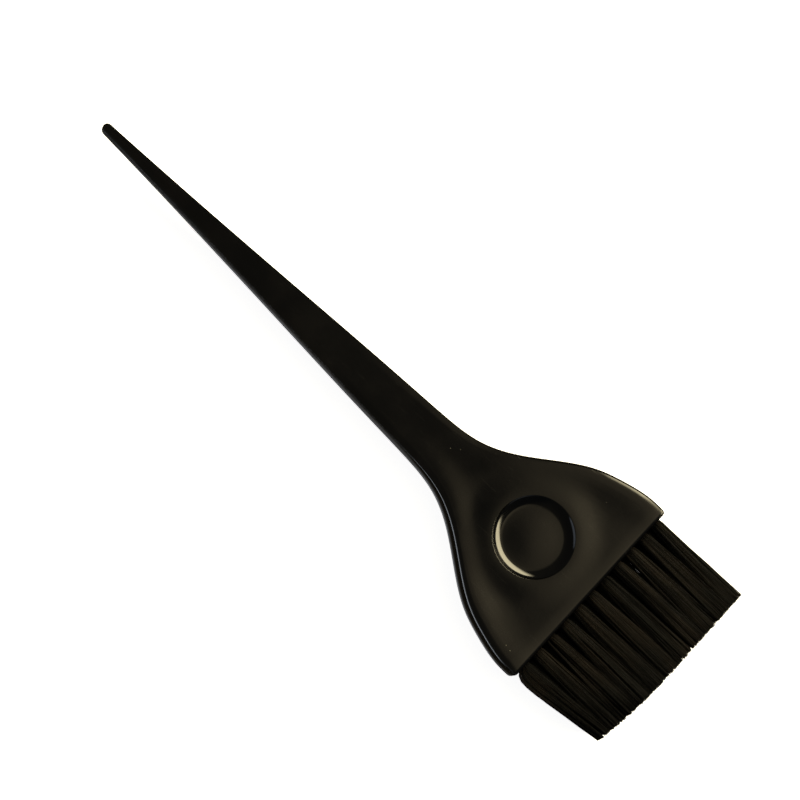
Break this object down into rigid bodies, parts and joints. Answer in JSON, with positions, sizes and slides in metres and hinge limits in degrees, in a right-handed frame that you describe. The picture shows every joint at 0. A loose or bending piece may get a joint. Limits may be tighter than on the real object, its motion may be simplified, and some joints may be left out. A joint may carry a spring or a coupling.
{
  "type": "tint brush",
  "caption": "Flat hair tint brush: tapered tail handle flaring into a wide paddle head with a round thumb recess and staggered rows of trimmed bristle tufts.",
  "frame": {"origin": "under the middle of the whole brush, on the plane that the flat back of the head rests on", "axes": "+X from the tail to the bristle tips, +Y across the head, +Z out of the front face"},
  "size_m": [0.2162, 0.0628, 0.0096],
  "materials": {
    "handle_plastic": "black injection moulding, polished tool finish worn to a satin gloss",
    "bristle": "black nylon filament, soft sheen along its length",
    "anchor_wire": "flat drawn brass wire, cropped ends"
  },
  "bodies": {
    "root": {"handle": "handle_plastic", "tuft_front_01": "bristle", "tuft_front_02": "bristle", "tuft_front_03": "bristle", "tuft_front_04": "bristle", "tuft_front_05": "bristle", "tuft_front_06": "bristle", "tuft_front_07": "bristle", "tuft_front_08": "bristle", "tuft_front_09": "bristle", "tuft_front_10": "bristle", "tuft_front_11": "bristle", "tuft_back_01": "bristle", "tuft_back_02": "bristle", "tuft_back_03": "bristle", "tuft_back_04": "bristle", "tuft_back_05": "bristle", "tuft_back_06": "bristle", "tuft_back_07": "bristle", "tuft_back_08": "bristle", "tuft_back_09": "bristle", "tuft_back_10": "bristle", "anchor_front_01": "anchor_wire", "anchor_front_02": "anchor_wire", "anchor_front_03": "anchor_wire", "anchor_front_04": "anchor_wire", "anchor_front_05": "anchor_wire", "anchor_front_06": "anchor_wire", "anchor_front_07": "anchor_wire", "anchor_front_08": "anchor_wire", "anchor_front_09": "anchor_wire", "anchor_front_10": "anchor_wire", "anchor_front_11": "anchor_wire", "anchor_back_01": "anchor_wire", "anchor_back_02": "anchor_wire", "anchor_back_03": "anchor_wire", "anchor_back_04": "anchor_wire", "anchor_back_05": "anchor_wire", "anchor_back_06": "anchor_wire", "anchor_back_07": "anchor_wire", "anchor_back_08": "anchor_wire", "anchor_back_09": "anchor_wire", "anchor_back_10": "anchor_wire"}
  },
  "joints": []
}
